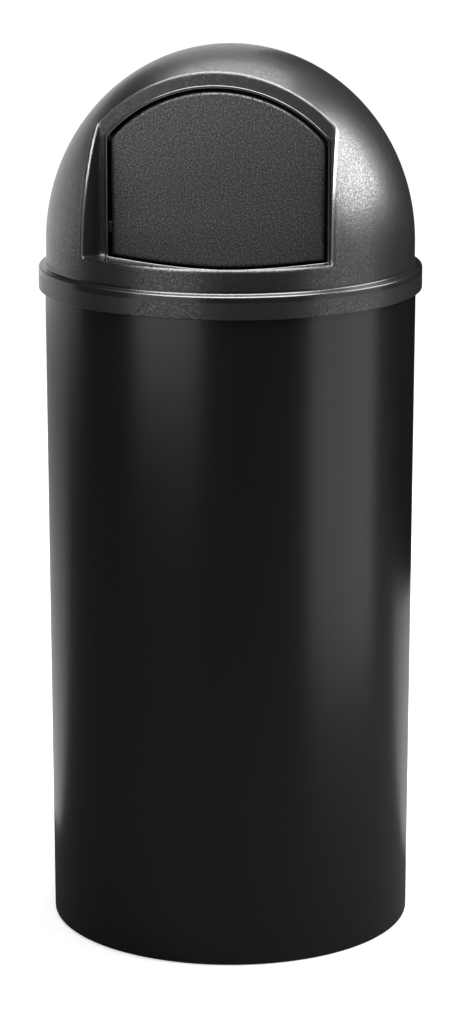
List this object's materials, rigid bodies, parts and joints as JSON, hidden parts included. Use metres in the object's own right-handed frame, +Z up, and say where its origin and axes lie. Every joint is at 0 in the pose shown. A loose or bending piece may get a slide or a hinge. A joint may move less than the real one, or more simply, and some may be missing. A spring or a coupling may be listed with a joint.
{
  "type": "dome top waste receptacle",
  "caption": "Round moulded waste receptacle with a domed lift-off lid, a sprung arched push door in a recessed face and a lift-out galvanised liner.",
  "frame": {"origin": "centre of the container's foot, on the floor", "axes": "+Z up along the centre line, -Y out of the push door, +X to the right as the door is faced"},
  "size_m": [0.4569, 0.457, 1.067],
  "materials": {
    "shell_plastic": "moulded black polyethylene, smooth satin",
    "lid_plastic": "moulded black polyethylene, fine grained satin",
    "door_plastic": "moulded black polyethylene, fine grained matt",
    "nylon": "natural nylon",
    "plated_steel": "zinc plated steel, bright",
    "screw_steel": "zinc plated steel, bright",
    "spring_steel": "spring steel wire, oiled",
    "galvanised_sheet": "hot dipped galvanised sheet, spangled",
    "rivet_steel": "plated steel, satin",
    "soft_rubber": "black rubber, matt",
    "band_rubber": "black rubber band, matt"
  },
  "bodies": {
    "container": {"container_shell": "shell_plastic"},
    "lid": {"dome_lid": "lid_plastic", "hinge_rod": "plated_steel", "rod_caps": "plated_steel", "hinge_bracket_left": "plated_steel", "hinge_bracket_right": "plated_steel", "bracket_screws": "screw_steel", "door_bumpers": "soft_rubber", "return_spring_left": "spring_steel", "return_spring_right": "spring_steel"},
    "door": {"door_panel": "door_plastic", "door_bush_left": "nylon", "door_bush_right": "nylon"},
    "liner": {"liner_shell": "galvanised_sheet", "liner_bottom": "galvanised_sheet", "liner_rim_wire": "plated_steel", "bag_band": "band_rubber", "handle_ear_left": "galvanised_sheet", "handle_ear_right": "galvanised_sheet", "ear_rivets": "rivet_steel"},
    "left_handle": {"handle_left": "plated_steel"},
    "right_handle": {"handle_right": "plated_steel"}
  },
  "joints": [
    {"name": "lid_lift", "type": "slide", "parent": "container", "child": "lid", "axis": [0, 0, 1], "range_m": [0, 0.5]},
    {"name": "liner_lift", "type": "slide", "parent": "container", "child": "liner", "axis": [0, 0, 1], "range_m": [0, 0.25]},
    {"name": "door_swing", "type": "hinge", "parent": "lid", "child": "door", "pos_m": [0, -0.072, 0.963], "axis": [1, 0, 0], "range_deg": [0, 72], "stiffness_Nm_per_rad": 0.3, "springref_deg": -28.65, "deforming": ["return_spring_left", "return_spring_right"]},
    {"name": "left_handle_swing", "type": "hinge", "parent": "liner", "child": "left_handle", "pos_m": [-0.18983, 0, 0.7157], "axis": [0, -1, 0], "range_deg": [0, 165]},
    {"name": "right_handle_swing", "type": "hinge", "parent": "liner", "child": "right_handle", "pos_m": [0.18983, 0, 0.7157], "axis": [0, 1, 0], "range_deg": [0, 165]}
  ],
  "couplings": [
    {"joint": "liner_lift", "follows": "lid_lift", "ratio": 0.5}
  ]
}
